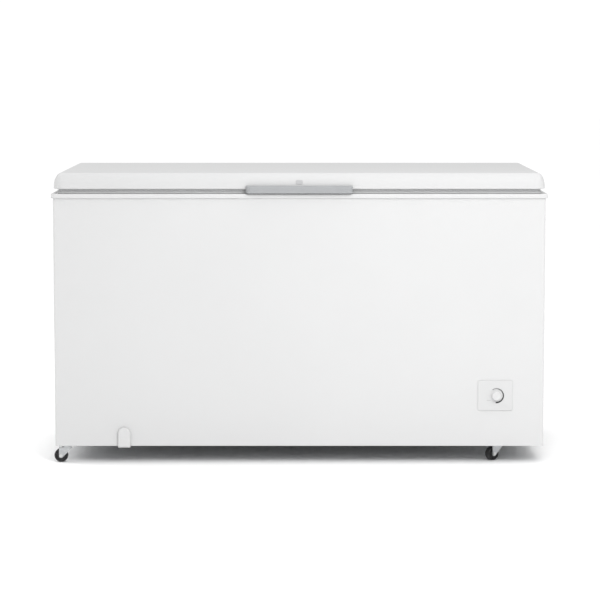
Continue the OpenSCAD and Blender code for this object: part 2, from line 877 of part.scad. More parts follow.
module hinge_screws() {
    color(steel) hinge_screw_places()
        translate([0, bracket_t, 0]) rotate([-90, 0, 0]) screw(4.2, 2.8, hinge_screw_r, 10);
}

// Points of the cam that lowers a flat plunger by the same amount for every degree of closing
function cam() = [for (t = [cam_from : 0.1 : cam_to + 0.01])
    let (turn = (cam_closed - t) * 180 / PI)
        cam_base_r * [t * sin(turn) - cos(turn), -t * cos(turn) - sin(turn)]];

module hinge_leaf(x) {
    knuckle = 35;
    knuckle_r = 7;
    arm_w = 30;
    cam_w = 14;
    color(steel) translate([x, 0, 0]) difference() {
        union() {
            block([-bracket_w / 2, y_back, pin_z - 2], [bracket_w / 2, y_back + bracket_t, pin_z + 41]);
            block([-arm_w / 2, y_back + bracket_t - cut, pin_z - 2], [arm_w / 2, pin_y, pin_z + 2]);
            rod_x([-knuckle / 2, pin_y, pin_z], knuckle_r, knuckle);
            translate([-cam_w / 2, pin_y, pin_z]) rotate([90, 0, 90]) linear_extrude(cam_w)
                polygon(concat(cam(), [[-6.5, -1], [0, 1], [6, 0]]));
        }
        rod_x([-40, pin_y, pin_z], pin_r + fit, 80);
        translate([-x, 0, 0]) lid_hinge_screw_places() rod_y([0, -cut, 0], hinge_screw_r, 10);
    }
}

module hinge_leaf_left() {
    hinge_leaf(-hinge_x);
}

module hinge_leaf_right() {
    hinge_leaf(hinge_x);
}

module lid_hinge_screws() {
    color(steel) lid_hinge_screw_places()
        translate([0, bracket_t, 0]) rotate([-90, 0, 0]) screw(4.2, 2.5, hinge_screw_r, 10);
}

module hinge_plunger(x) {
    color(dark) translate([x, plunger_y, 0]) {
        translate([0, 0, plunger_top - plunger_head]) cylinder(r = 6.8, h = plunger_head);
        translate([0, 0, shelf_z - shelf_t - 16])
            cylinder(r = stem_r, h = plunger_top - shelf_z + shelf_t + 16 - cut);
    }
}

module hinge_plunger_left() {
    hinge_plunger(-hinge_x);
}

module hinge_plunger_right() {
    hinge_plunger(hinge_x);
}

// Compression spring between the bracket's shelf and the plunger's head
module hinge_spring(x) {
    r = stem_r + 0.6 + spring_wire;
    low = shelf_z + apart + spring_wire;
    high = plunger_top - plunger_head - apart - spring_wire;
    turns = spring_turns;
    color(steel) translate([x, plunger_y, 0]) tube([for (a = [0 : 30 : 360 * turns])
        [r * cos(a), r * sin(a), low + (high - low) * a / (360 * turns)]], spring_wire, 6);
}

module hinge_spring_left() {
    hinge_spring(-hinge_x);
}

module hinge_spring_right() {
    hinge_spring(hinge_x);
}

// ---------------------------------------------------------------- controls

module thermostat_knob() {
    back = y_front - panel_out - apart;
    color(white) difference() {
        union() {
            rod_y([knob_x, back - 4, knob_z], knob_r, 4);
            rod_y([knob_x, back - knob_l, knob_z], knob_r - 2, knob_l - 3);
        }
        rod_y([knob_x, back - knob_l + 1.5, knob_z], shaft_r + fit, knob_l);
        translate([knob_x, back - knob_l, knob_z]) rotate([0, 50, 0])
            translate([-1, -cut, 3]) cube([2, 2, knob_r]);
    }
}

// ---------------------------------------------------------------- casters

module caster_screw_places() {
    for (c = CASTERS, x = [-plate_screw, plate_screw], y = [-plate_screw, plate_screw])
        translate([c.x + x, c.y + y, body_bottom]) children();
}

// Fixed half of each swivel: plate, race and kingpin
module caster_plates() {
    color(grey) for (c = CASTERS) translate([c.x, c.y, 0]) {
        difference() {
            block([-plate_w / 2, -plate_w / 2, plate_z], [plate_w / 2, plate_w / 2, body_bottom]);
            for (x = [-plate_screw, plate_screw], y = [-plate_screw, plate_screw])
                translate([x, y, 0]) cylinder(r = caster_screw_r, h = body_bottom + cut);
        }
        translate([0, 0, race_z]) cylinder(r = race_r, h = plate_z - race_z + 0.5);
        translate([0, 0, fork_top - fork_t - 1])
            cylinder(r = kingpin_r, h = race_z - fork_top + fork_t + 1.5);
        translate([0, 0, fork_top - fork_t - apart - 2.4]) cylinder(r = 6.5, h = 2.4);
    }
}

module caster_screws() {
    color(steel) caster_screw_places()
        translate([0, 0, plate_z - body_bottom]) rotate([180, 0, 0]) screw(4, 2.4, caster_screw_r, 5);
}

// Bent sheet fork: the swivel pin's axis stands at the origin and the wheel trails along +X
module fork() {
    tail = trail + 6;
    cheek = [
        [-10, fork_top - 1], [-10, fork_top - 6], [trail - 6, axle_z - 4], [trail - 3, axle_z - 7],
        [trail + 3, axle_z - 7], [tail, axle_z - 4], [tail, fork_top - 1]
    ];
    difference() {
        union() {
            translate([0, 0, fork_top - fork_t]) linear_extrude(fork_t)
                polygon(outline(-race_r, -fork_gap - fork_t, tail, fork_gap + fork_t, 6));
            for (s = [0, 1]) mirror([0, s, 0])
                translate([0, fork_gap + fork_t, 0]) rotate([90, 0, 0]) linear_extrude(fork_t) polygon(cheek);
        }
        cylinder(r = kingpin_r + fit, h = race_z);
        rod_y([trail, -wheel_w, axle_z], axle_r, 2 * wheel_w);
    }
}

module axle() {
    half = fork_gap + fork_t;
    rod_y([trail, -half - 1, axle_z], axle_r, 2 * half + 2);
    for (s = [0, 1]) mirror([0, s, 0]) translate([trail, half + 2.5, axle_z]) rotate([90, 0, 0])
        cylinder(r = 5, h = 2.5, $fn = 6);
}

module wheel() {
    half = wheel_w / 2;
    hub_r = 9;
    web = half - 2.5;
    rim = half - 0.5;
    face = [[axle_r + fit, half], [hub_r, half], [hub_r, web], [wheel_r - 5, web], [wheel_r - 4, rim],
        [wheel_r - 1, rim], [wheel_r, web]];
    back = [for (i = [len(face) - 1 : -1 : 0]) [face[i].x, -face[i].y]];
    translate([trail, 0, axle_z]) rotate([90, 0, 0]) rotate_extrude($fn = 64) polygon(concat(face, back));
}

module at_caster(i) {
    translate([CASTERS[i].x, CASTERS[i].y, 0]) rotate([0, 0, CASTERS[i].z]) children();
}

module caster_fork(i) {
    color(grey) at_caster(i) fork();
}

module caster_axle(i) {
    color(steel) at_caster(i) axle();
}

module caster_wheel(i) {
    color(dark) at_caster(i) wheel();
}

// ---------------------------------------------------------------- basket

// Flat grille in the XZ plane: its rim, its level wires and its upright wires
module grille(w, h, across, levels) {
    for (z = [0, h]) rod_x([-w / 2, 0, z], wire_r, w, $fn = 8);
    for (i = [1 : levels]) rod_x([-w / 2, 0, h * i / (levels + 1)], wire_r * 0.8, w, $fn = 8);
    for (i = [0 : across])
        translate([-w / 2 + wire_r + (w - 2 * wire_r) * i / across, wire_r, -wire_r + 0.5])
            cylinder(r = wire_r * 0.8, h = h + 2 * wire_r - 1, $fn = 8);
}

module wire_basket() {
    depth = basket_y[1] - basket_y[0];
    seam = 2 * wire_r + 1;
    middle = [basket_x + basket_w / 2, (basket_y[0] + basket_y[1]) / 2];
    color(white) translate([middle.x, middle.y, basket_z[0]]) {
        for (s = [0, 1]) mirror([0, s, 0]) {
            translate([0, depth / 2 - seam, 0]) grille(basket_w, basket_h, round(basket_w / wire_step), 2);
            basket_rail(depth / 2);
        }
        for (s = [0, 1]) mirror([s, 0, 0])
            translate([basket_w / 2 - seam, 0, 0]) rotate([0, 0, -90])
                grille(depth - 4 * seam, basket_h, round(depth / wire_step), 2);
        translate([0, 0, -seam]) rotate([-90, 0, 0]) translate([0, 0, -depth / 2])
            grille(basket_w, depth, round(basket_w / wire_step), 4);
    }
}

// Rail that slides on the frame's ledge, with the two arms that carry the basket
module basket_rail(y) {
    rail_y = y + 8 + ledge_w / 2 - 0.5;
    translate([0, 0, basket_h]) {
        rod_x([-basket_w / 2 + 10, rail_y, 0], rail_r, basket_w - 20);
        for (x = [-basket_w / 3, basket_w / 3])
            rod_y([x, y - 1.5, 0.5], wire_r * 0.9, rail_y - y + 1.5);
    }
}

// ---------------------------------------------------------------- assembly

outer_wrap();
back_panel();
base_panel();
inner_liner();
cabinet_insulation();
top_frame();
machine_wall();
evaporator_coil();
condenser_coil();
compressor_tray();
compressor_shell();
compressor_terminal_cover();
compressor_grommets();
compressor_bolts();
filter_drier();
capillary_tube();
suction_line();
discharge_line();
thermostat_body();
control_panel();
rear_cover();
rear_cover_screws();
cord_gland();
side_vent_grille();
drain_tube();
hinge_bracket_left();
hinge_bracket_right();
hinge_pins();
hinge_screws();
caster_plates();
caster_screws();
lid_outer_panel();
lid_insulation();
lid_inner_panel();
lid_gasket();
lid_handle();
lid_badge();
hinge_leaf_left();
hinge_leaf_right();
lid_hinge_screws();
hinge_plunger_left();
hinge_plunger_right();
hinge_spring_left();
hinge_spring_right();
thermostat_knob();
drain_cap();
drain_plug();
wire_basket();
caster_fork(0);  // caster_fork_fl
caster_fork(1);  // caster_fork_fr
caster_fork(2);  // caster_fork_rl
caster_fork(3);  // caster_fork_rr
caster_axle(0);  // caster_axle_fl
caster_axle(1);  // caster_axle_fr
caster_axle(2);  // caster_axle_rl
caster_axle(3);  // caster_axle_rr
caster_wheel(0);  // caster_wheel_fl
caster_wheel(1);  // caster_wheel_fr
caster_wheel(2);  // caster_wheel_rl
caster_wheel(3);  // caster_wheel_rr
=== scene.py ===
"""The looks of the chest freezer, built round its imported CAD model.

Units are metres. The freezer's front faces -Y and it stands on z = 0.
"""

import json
import math

import bmesh
import bpy
from mathutils import Matrix, Vector


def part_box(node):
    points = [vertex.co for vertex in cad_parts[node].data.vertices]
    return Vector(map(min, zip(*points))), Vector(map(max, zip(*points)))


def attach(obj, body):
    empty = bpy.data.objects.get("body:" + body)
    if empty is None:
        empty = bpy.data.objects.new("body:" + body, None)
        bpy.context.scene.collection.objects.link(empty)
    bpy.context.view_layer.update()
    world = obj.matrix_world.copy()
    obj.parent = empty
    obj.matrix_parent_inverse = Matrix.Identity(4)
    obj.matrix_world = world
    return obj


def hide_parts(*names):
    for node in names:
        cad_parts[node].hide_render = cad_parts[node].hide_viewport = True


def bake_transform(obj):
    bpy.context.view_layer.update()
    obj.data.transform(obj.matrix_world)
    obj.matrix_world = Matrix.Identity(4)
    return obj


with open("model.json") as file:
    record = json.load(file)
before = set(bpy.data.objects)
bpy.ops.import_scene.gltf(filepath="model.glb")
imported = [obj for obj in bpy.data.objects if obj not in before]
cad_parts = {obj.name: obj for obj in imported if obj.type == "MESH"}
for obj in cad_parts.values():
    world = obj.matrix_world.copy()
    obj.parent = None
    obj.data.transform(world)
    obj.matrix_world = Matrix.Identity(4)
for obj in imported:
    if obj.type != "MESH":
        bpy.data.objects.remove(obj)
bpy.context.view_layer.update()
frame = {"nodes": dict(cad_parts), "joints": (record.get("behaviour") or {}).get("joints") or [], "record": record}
nodes = frame["nodes"]
MM = 0.001


# ------------------------------------------------------------ places, from the frame

def low(node):
    return Vector(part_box(node)[0])


def high(node):
    return Vector(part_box(node)[1])


SIDE = high("outer_wrap").x
FRONT = low("outer_wrap").y
BACK = high("back_panel").y
BODY_TOP = high("outer_wrap").z
FRAME_TOP = high("top_frame").z
LID_SIDE = high("lid_outer_panel").x
LID_BOTTOM = low("lid_outer_panel").z
LID_TOP = high("lid_outer_panel").z
CORNERS = ("fl", "fr", "rl", "rr")
JOINTS = {joint["name"]: joint for joint in frame["joints"]}


# ------------------------------------------------------------ materials

def node_of(tree, kind, **values):
    """A shader node with its named inputs or properties set."""
    made = tree.nodes.new(kind)
    for key, value in values.items():
        if key in made.inputs:
            made.inputs[key].default_value = value
        else:
            setattr(made, key, value)
    return made


def noise(tree, scale, detail=3.0, stretch=(1, 1, 1)):
    """Noise over the object's own coordinates, scale in features per metre."""
    place = node_of(tree, "ShaderNodeTexCoord")
    mapping = node_of(tree, "ShaderNodeMapping")
    mapping.inputs["Scale"].default_value = stretch
    texture = node_of(tree, "ShaderNodeTexNoise", Scale=scale, Detail=detail)
    tree.links.new(place.outputs["Object"], mapping.inputs["Vector"])
    tree.links.new(mapping.outputs["Vector"], texture.inputs["Vector"])
    return texture.outputs["Fac"]


def cells(tree, scale, feature="F1"):
    """Voronoi cells over the object's own coordinates."""
    place = node_of(tree, "ShaderNodeTexCoord")
    texture = node_of(tree, "ShaderNodeTexVoronoi", Scale=scale)
    texture.feature = feature
    tree.links.new(place.outputs["Object"], texture.inputs["Vector"])
    return texture


def spread(tree, value, start, end):
    """Maps a 0..1 value to start..end."""
    mapped = node_of(tree, "ShaderNodeMapRange")
    mapped.inputs["To Min"].default_value = start
    mapped.inputs["To Max"].default_value = end
    tree.links.new(value, mapped.inputs["Value"])
    return mapped.outputs["Result"]


def tint(tree, value, first, second):
    """Runs between two colours with a value, gently."""
    ramp = node_of(tree, "ShaderNodeValToRGB")
    ramp.color_ramp.elements[0].position = 0.3
    ramp.color_ramp.elements[0].color = (*first, 1)
    ramp.color_ramp.elements[1].position = 0.7
    ramp.color_ramp.elements[1].color = (*second, 1)
    tree.links.new(value, ramp.inputs["Fac"])
    return ramp.outputs["Color"]


def surface(name, first, second, rough, metallic=0.0, tint_scale=3.0, grain=400.0, depth=0.02 * MM,
            smudge=8.0, coat=0.0, stretch=(1, 1, 1)):
    """A finish with its own colour variation, uneven gloss and fine relief."""
    made = bpy.data.materials.new(name)
    made.use_nodes = True
    tree = made.node_tree
    shader = tree.nodes["Principled BSDF"]
    shader.inputs["Metallic"].default_value = metallic
    shader.inputs["Coat Weight"].default_value = coat
    shader.inputs["Coat Roughness"].default_value = 0.12
    colour = tint(tree, noise(tree, tint_scale, 4.0, stretch), first, second)
    gloss = spread(tree, noise(tree, smudge, 5.0, stretch), *rough)
    relief = node_of(tree, "ShaderNodeBump", Distance=depth, Strength=0.6)
    tree.links.new(noise(tree, grain, 2.0, stretch), relief.inputs["Height"])
    tree.links.new(colour, shader.inputs["Base Color"])
    tree.links.new(gloss, shader.inputs["Roughness"])
    tree.links.new(relief.outputs["Normal"], shader.inputs["Normal"])
    return made


def galvanised(name):
    """Zinc-coated sheet: crystal spangle in the colour and the gloss."""
    made = surface(name, (0.5, 0.51, 0.52), (0.56, 0.57, 0.58), rough=(0.3, 0.5), metallic=0.85, grain=900.0)
    tree = made.node_tree
    shader = tree.nodes["Principled BSDF"]
    spangle = cells(tree, 230.0)
    channels = node_of(tree, "ShaderNodeSeparateColor")
    tree.links.new(spangle.outputs["Color"], channels.inputs["Color"])
    colour = tint(tree, channels.outputs["Red"], (0.5, 0.51, 0.52), (0.54, 0.55, 0.56))
    gloss = spread(tree, channels.outputs["Green"], 0.4, 0.5)
    tree.links.new(colour, shader.inputs["Base Color"])
    tree.links.new(gloss, shader.inputs["Roughness"])
    return made


def emboss(made, height, depth, strength):
    """Puts a pattern's relief in place of the finish's own."""
    tree = made.node_tree
    relief = node_of(tree, "ShaderNodeBump", Distance=depth, Strength=strength)
    tree.links.new(height, relief.inputs["Height"])
    tree.links.new(relief.outputs["Normal"], tree.nodes["Principled BSDF"].inputs["Normal"])
    return made


def stucco(name):
    """Thin aluminium sheet with an embossed pebble pattern."""
    made = surface(name, (0.78, 0.79, 0.8), (0.84, 0.85, 0.86), rough=(0.28, 0.42), metallic=0.9, grain=900.0)
    pebble = cells(made.node_tree, 160.0, "SMOOTH_F1")
    return emboss(made, pebble.outputs["Distance"], 0.5 * MM, 0.7)


def foam_finish(name):
    """Rigid foam: open cells and a warm, uneven colour."""
    made = surface(name, (0.75, 0.62, 0.33), (0.85, 0.74, 0.45), rough=(0.85, 0.95), grain=700.0)
    pores = cells(made.node_tree, 450.0)
    return emboss(made, pores.outputs["Distance"], 0.8 * MM, 0.9)


FINISH = {
    "white_enamel": surface(
        "white_enamel", (0.553, 0.554, 0.555), (0.567, 0.568, 0.569), rough=(0.38, 0.45),
        tint_scale=2.0, grain=260.0, depth=0.005 * MM, smudge=5.0),
    # Painted shade: the body's white enamel made a shade darker, so that the lid's top reads darker as if it
    # caught less of the light
    "lid_enamel": surface(
        "lid_enamel", (0.535, 0.536, 0.537), (0.547, 0.548, 0.549), rough=(0.38, 0.45),
        tint_scale=2.0, grain=240.0, depth=0.005 * MM, smudge=6.0),
    "white_plastic": surface(
        "white_plastic", (0.556, 0.557, 0.558), (0.57, 0.571, 0.572), rough=(0.4, 0.5),
        grain=1400.0, depth=0.01 * MM, smudge=14.0),
    "control_plastic": surface(
        "control_plastic", (0.535, 0.536, 0.537), (0.548, 0.549, 0.55), rough=(0.4, 0.5),
        grain=1600.0, depth=0.03 * MM, smudge=25.0),
    "knob_plastic": surface(
        "knob_plastic", (0.555, 0.556, 0.557), (0.57, 0.571, 0.572), rough=(0.34, 0.44),
        grain=1800.0, depth=0.02 * MM, smudge=40.0),
    "liner_aluminium": stucco("liner_aluminium"),
    "galvanised_sheet": galvanised("galvanised_sheet"),
    "foam": foam_finish("foam"),
    "tube_steel": surface(
        "tube_steel", (0.2, 0.2, 0.21), (0.3, 0.3, 0.31), rough=(0.35, 0.5),
        metallic=0.8),
    "copper": surface(
        "copper", (0.62, 0.29, 0.17), (0.72, 0.38, 0.24), rough=(0.22, 0.42),
        metallic=1.0, tint_scale=30.0, smudge=60.0),
    "compressor_black": surface(
        "compressor_black", (0.012, 0.012, 0.013), (0.02, 0.02, 0.022), rough=(0.25, 0.4),
        grain=300.0, depth=0.1 * MM, coat=0.3),
    "black_plastic": surface(
        "black_plastic", (0.018, 0.018, 0.019), (0.03, 0.03, 0.031), rough=(0.45, 0.6),
        grain=1600.0, depth=0.05 * MM),
    "black_rubber": surface(
        "black_rubber", (0.015, 0.015, 0.015), (0.03, 0.03, 0.03), rough=(0.7, 0.85),
        grain=900.0, depth=0.06 * MM),
    "zinc_fasteners": surface(
        "zinc_fasteners", (0.6, 0.61, 0.6), (0.7, 0.7, 0.68), rough=(0.25, 0.42),
        metallic=1.0, tint_scale=60.0, smudge=120.0),
    "grey_plastic": surface(
        "grey_plastic", (0.36, 0.37, 0.38), (0.42, 0.43, 0.44), rough=(0.4, 0.55),
        grain=1500.0, depth=0.04 * MM),
    "badge_silver": surface(
        "badge_silver", (0.42, 0.42, 0.425), (0.44, 0.44, 0.445), rough=(0.3, 0.4),
        grain=1500.0, depth=0.01 * MM),
    "handle_grey": surface(
        "handle_grey", (0.285, 0.292, 0.3), (0.305, 0.312, 0.32), rough=(0.34, 0.44),
        tint_scale=20.0, grain=1700.0, depth=0.03 * MM, smudge=20.0),
    "gasket_grey": surface(
        "gasket_grey", (0.485, 0.488, 0.49), (0.5, 0.503, 0.505), rough=(0.55, 0.62),
        tint_scale=5.0, grain=1200.0, depth=0.04 * MM),
    "hinge_steel": surface(
        "hinge_steel", (0.56, 0.57, 0.58), (0.66, 0.67, 0.68), rough=(0.28, 0.42),
        metallic=1.0, tint_scale=25.0, grain=1800.0, smudge=40.0, stretch=(1, 1, 0.15)),
    "spring_steel": surface(
        "spring_steel", (0.3, 0.3, 0.31), (0.42, 0.42, 0.43), rough=(0.25, 0.4),
        metallic=1.0, tint_scale=120.0, smudge=90.0),
    "wheel_black": surface(
        "wheel_black", (0.01, 0.01, 0.011), (0.03, 0.03, 0.03), rough=(0.4, 0.62),
        tint_scale=90.0, grain=1500.0, depth=0.06 * MM, smudge=70.0),
    "basket_wire": surface(
        "basket_wire", (0.76, 0.76, 0.76), (0.8, 0.8, 0.8), rough=(0.22, 0.34),
        grain=700.0, depth=0.06 * MM, coat=0.4),
}


# ------------------------------------------------------------ mesh helpers

def piece(name, verts, faces, body, slot, stands_for=()):
    """A smooth-shaded mesh that rides on a body and takes a slot's finish."""
    mesh = bpy.data.meshes.new(name)
    mesh.from_pydata([tuple(v) for v in verts], [], faces)
    made = bpy.data.objects.new(name, mesh)
    bpy.context.scene.collection.objects.link(made)
    shape = bmesh.new()
    shape.from_mesh(mesh)
    bmesh.ops.recalc_face_normals(shape, faces=shape.faces)
    shape.to_mesh(mesh)
    shape.free()
    mesh.shade_smooth()
    mesh.materials.append(FINISH[slot])
    if body:
        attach(made, body)
    if stands_for:
        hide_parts(*stands_for)
    return made


def soften(made, width, segments=3, angle=30):
    """Rounds hard edges and evens the shading over flat faces."""
    weld = made.modifiers.new("weld", "WELD")
    weld.merge_threshold = 0.01 * MM
    bevel = made.modifiers.new("bevel", "BEVEL")
    bevel.width = width
    bevel.segments = segments
    bevel.limit_method = "ANGLE"
    bevel.angle_limit = math.radians(angle)
    bevel.harden_normals = False
    normals = made.modifiers.new("normals", "WEIGHTED_NORMAL")
    normals.keep_sharp = True


def loft(loops, cap_start=False, cap_end=False, join=False):
    """Skin over loops with the same number of points."""
    rows = len(loops)
    count = len(loops[0])
    verts = [Vector(p) for loop in loops for p in loop]
    faces = []
    for i in range(rows if join else rows - 1):
        row = i * count
        following = (i + 1) % rows * count
        for k in range(count):
            after = (k + 1) % count
            faces.append((row + k, row + after, following + after, following + k))
    if cap_start:
        faces.append(tuple(range(count - 1, -1, -1)))
    if cap_end:
        faces.append(tuple(range((rows - 1) * count, rows * count)))
    return verts, faces


def joined(*parts):
    """One mesh from several (verts, faces) pairs."""
    verts, faces = [], []
    for part_verts, part_faces in parts:
        start = len(verts)
        verts.extend(part_verts)
        faces.extend(tuple(start + i for i in face) for face in part_faces)
    return verts, faces


def rounded(x0, y0, x1, y1, radii, steps=8):
    """Anticlockwise rounded rectangle; radii for the corners (x1,y1), (x0,y1), (x0,y0), (x1,y0)."""
    r = radii if isinstance(radii, (list, tuple)) else [radii] * 4
    centres = [(x1 - r[0], y1 - r[0]), (x0 + r[1], y1 - r[1])]
    centres += [(x0 + r[2], y0 + r[2]), (x1 - r[3], y0 + r[3])]
    points = []
    for corner, (x, y) in enumerate(centres):
        for i in range(steps + 1):
            angle = math.radians(90 * corner + 90 * i / steps)
            points.append((x + r[corner] * math.cos(angle), y + r[corner] * math.sin(angle)))
    return points


def plan_loop(inset, z, radius, back=None, back_radius=None, steps=8, side=None):
    """Loop round the body in plan, drawn in from its planes by inset (and by back at the rear)."""
    side = SIDE if side is None else side
    back = inset if back is None else back
    back_radius = radius if back_radius is None else back_radius
    outline = rounded(-side + inset, FRONT + inset, side - inset, BACK - back,
                      [back_radius, back_radius, radius, radius], steps)
    return [(x, y, z) for x, y in outline]


def unit_frames(path):
    """Tangent and two normals at each point of a path, carried along without twist."""
    tangents = []
    for i in range(len(path)):
        ahead, behind = path[min(i + 1, len(path) - 1)], path[max(i - 1, 0)]
        tangents.append((ahead - behind).normalized())
    up = Vector((0, 0, 1)) if abs(tangents[0].z) < 0.9 else Vector((1, 0, 0))
    frames = []
    for tangent in tangents:
        up = (up - tangent * up.dot(tangent)).normalized()
        frames.append((tangent, up, tangent.cross(up)))
    return frames


def tube(path, radius, sides=10):
    """Round wire along a path with closed, slightly domed ends."""
    path = [Vector(p) for p in path]
    frames = unit_frames(path)
    angles = [2 * math.pi * k / sides for k in range(sides)]
    loops = []
    for point, (_, up, across) in zip(path, frames):
        loops.append([point + radius * (math.cos(a) * up + math.sin(a) * across) for a in angles])
    for end, sign in ((0, -1), (-1, 1)):
        tip = path[end] + frames[end][0] * sign * radius * 0.4
        cap = [tip + (p - path[end]) * 0.6 for p in loops[end]]
        loops = [cap] + loops if end == 0 else loops + [cap]
    return loft(loops, cap_start=True, cap_end=True)


def bent(points, radius, steps=5):
    """A path with each corner turned into a smooth bend."""
    points = [Vector(p) for p in points]
    path = [points[0]]
    for before, corner, after in zip(points, points[1:], points[2:]):
        start = corner + (before - corner).normalized() * radius
        end = corner + (after - corner).normalized() * radius
        for i in range(steps + 1):
            s = i / steps
            path.append((1 - s) ** 2 * start + 2 * s * (1 - s) * corner + s * s * end)
    path.append(points[-1])
    return path


def lathe(profile, centre, axis, segments=48, wave=None):
    """Turned shape: profile holds (radius, distance along the axis); wave(angle, i) scales a radius."""
    axis = Vector(axis).normalized()
    side = axis.orthogonal().normalized()
    other = axis.cross(side)
    loops = []
    for i, (radius, along) in enumerate(profile):
        loop = []
        for k in range(segments):
            angle = 2 * math.pi * k / segments
            r = radius * (wave(angle, i) if wave else 1)
            outward = math.cos(angle) * side + math.sin(angle) * other
            loop.append(Vector(centre) + axis * along + r * outward)
        loops.append(loop)
    return loft(loops, cap_start=profile[0][0] > 0, cap_end=profile[-1][0] > 0)


def brick(lowest, highest):
    """Plain box, always softened and joined to something larger."""
    (x0, y0, z0), (x1, y1, z1) = lowest, highest
    bottom = [(x0, y0, z0), (x1, y0, z0), (x1, y1, z0), (x0, y1, z0)]
    return loft([bottom, [(x, y, z1) for x, y, _ in bottom]], cap_start=True, cap_end=True)


def arc(cx, cy, radius, start, end, steps):
    """Points on an arc, angles in degrees."""
    angles = [math.radians(start + (end - start) * i / steps) for i in range(steps + 1)]
    return [(cx + radius * math.cos(angle), cy + radius * math.sin(angle)) for angle in angles]


def at(inset, z, *steps):
    """Profile points stepped off in millimetres from one place; a third value is carried along."""
    return [(inset + x * MM, z + y * MM, *rest) for x, y, *rest in steps]


# ------------------------------------------------------------ lid

# The lid's soft edge: how far in it reaches, how high it rises and its corner radius in plan.
LID_REACH = 22 * MM
LID_RISE = 40 * MM
LID_CORNER = 27 * MM


def lid_shell():
    """Pressed steel lid: soft front and side edges, flat back, flared hem."""
    crown = 0.8 * MM
    back_round = 6 * MM
    flare = 0.8 * MM
    hem = LID_BOTTOM
    start = LID_TOP - crown - LID_RISE
    profile = at(0, hem, (6, 2.2), (2.4, 1.8), (1.4, 0.3), (0.4, 0))
    profile += [(-flare * 0.6, hem + 0.3 * MM), (-flare, hem + 1.2 * MM), (-flare * 0.35, hem + 3 * MM)]
    profile += [(LID_REACH * (1 - x), start + LID_RISE * z) for x, z in arc(0, 0, 1, 0, 90, 24)]
    profile += [(70 * MM, LID_TOP - crown * 0.7), (150 * MM, LID_TOP - crown * 0.2), (290 * MM, LID_TOP)]
    loops = []
    for inset, z in profile:
        edge = inset < LID_REACH + MM
        up = min(max(0, z - (LID_TOP - crown - back_round)), back_round)
        back = back_round - math.sqrt(back_round ** 2 - up ** 2) if edge and z > start else max(inset, 0)
        corner = max(LID_CORNER - inset, 5 * MM)
        back_corner = 3 * MM if edge else 5 * MM
        loops.append(plan_loop(inset, z, corner, back=back, back_radius=back_corner, steps=14, side=LID_SIDE))
    verts, faces = loft(loops, cap_end=True)
    # The darker lid enamel is painted shade for the lid's top
    piece("lid_shell", verts, faces, "lid", "lid_enamel", ["lid_outer_panel"])


def swages(floor, corner):
    """Two pressed grooves round the tray's floor, as profile points."""
    depth = 3.0
    half = ((0, 0), (3, 0.6), (6, 2.6), (8, depth))
    width = 26
    groove = [*half, *((width - along, drop) for along, drop in reversed(half))]
    points = []
    for start in (130 * MM, 190 * MM):
        points += at(start, floor, *((along, -drop, corner) for along, drop in groove))
    return points


def lid_inner_tray():
    """Formed inner lid: flange, drafted plug wall and a floor with stiffening swages."""
    plug_in = 77.5 * MM
    floor = low("lid_inner_panel").z
    shoulder = 4 * MM
    turn = 4 * MM
    draft = 0.3 * MM
    wall_end = floor + turn
    profile = at(0, LID_BOTTOM, (2.5, 1.4, 25 * MM), (2.2, 0.1, 25 * MM))
    profile += at(0, LID_BOTTOM, (60, 0.05, 30 * MM), (70, 0.05, 30 * MM))
    for x, y in arc(0, 0, shoulder, 90, 0, 6):
        profile.append((plug_in - shoulder + x, LID_BOTTOM - shoulder + y, 30 * MM))
    profile.append((plug_in + 0.1 * MM, wall_end, 28 * MM))
    for x, y in arc(0, 0, turn, 15, 90, 8):
        profile.append((plug_in + draft + turn - x, wall_end - y, 26 * MM))
    profile += swages(floor, 14 * MM)
    loops = [plan_loop(inset, height, radius, steps=10) for inset, height, radius in profile]
    verts, faces = loft(loops, cap_end=True)
    piece("lid_inner_tray", verts, faces, "lid", "liner_aluminium", ["lid_inner_panel"])


def gasket():
    """Magnetic seal: soft foot in the lid's groove, two bellows folds and the flat magnet strip."""
    box_low, box_high = low("lid_gasket"), high("lid_gasket")
    edge = SIDE - box_high.x
    bottom = box_low.z
    tall = box_high.z - bottom
    wide = 14
    outer = [(0.5, 1.0), (0.5, 0.86), (3.2, 0.8), (4.6, 0.72), (3.0, 0.62), (1.4, 0.56), (1.2, 0.5)]
    outer += [(3.0, 0.44), (4.4, 0.36), (2.6, 0.3), (0.4, 0.26), (0.1, 0.2), (0.1, 0.06), (0.7, 0.0)]
    inner = [(wide - x, share) for x, share in reversed(outer)]
    profile = [(edge + x * MM, bottom + share * tall) for x, share in outer + inner]
    corner = 20 * MM
    loops = [plan_loop(inset, z, corner - (inset - edge), steps=10) for inset, z in profile]
    verts, faces = loft(loops, join=True)
    piece("gasket_bellows", verts, faces, "lid", "gasket_grey", ["lid_gasket"])


def handle_section(out, bottom):
    """The grip's outside and its finger pocket, as (y, z) from the body's front and the lid's hem."""
    top_round = 9 * MM
    toe_round = 1.4 * MM
    pocket_round = 3.5 * MM
    pocket_top = -3 * MM
    inner = -out + 3.2 * MM
    outer = at(0, 0, (-0.2, 8.9), (-6, 9))
    outer += [(-out + top_round + x, y) for x, y in arc(0, 0, top_round, 90, 180, 10)]
    outer.append((-out, bottom + toe_round))
    for x, y in arc(0, 0, toe_round, 200, 270, 4):
        outer.append((-out + toe_round + x, bottom + toe_round + y))
    pocket = [(inner - 0.6 * MM, bottom), (inner, bottom + 0.8 * MM), (inner, pocket_top)]
    for x, y in arc(0, 0, pocket_round, 180, 90, 6):
        pocket.append((inner + pocket_round + x, pocket_top + y))
    pocket += at(0, 0, (-0.2, 0.5))
    return outer, pocket


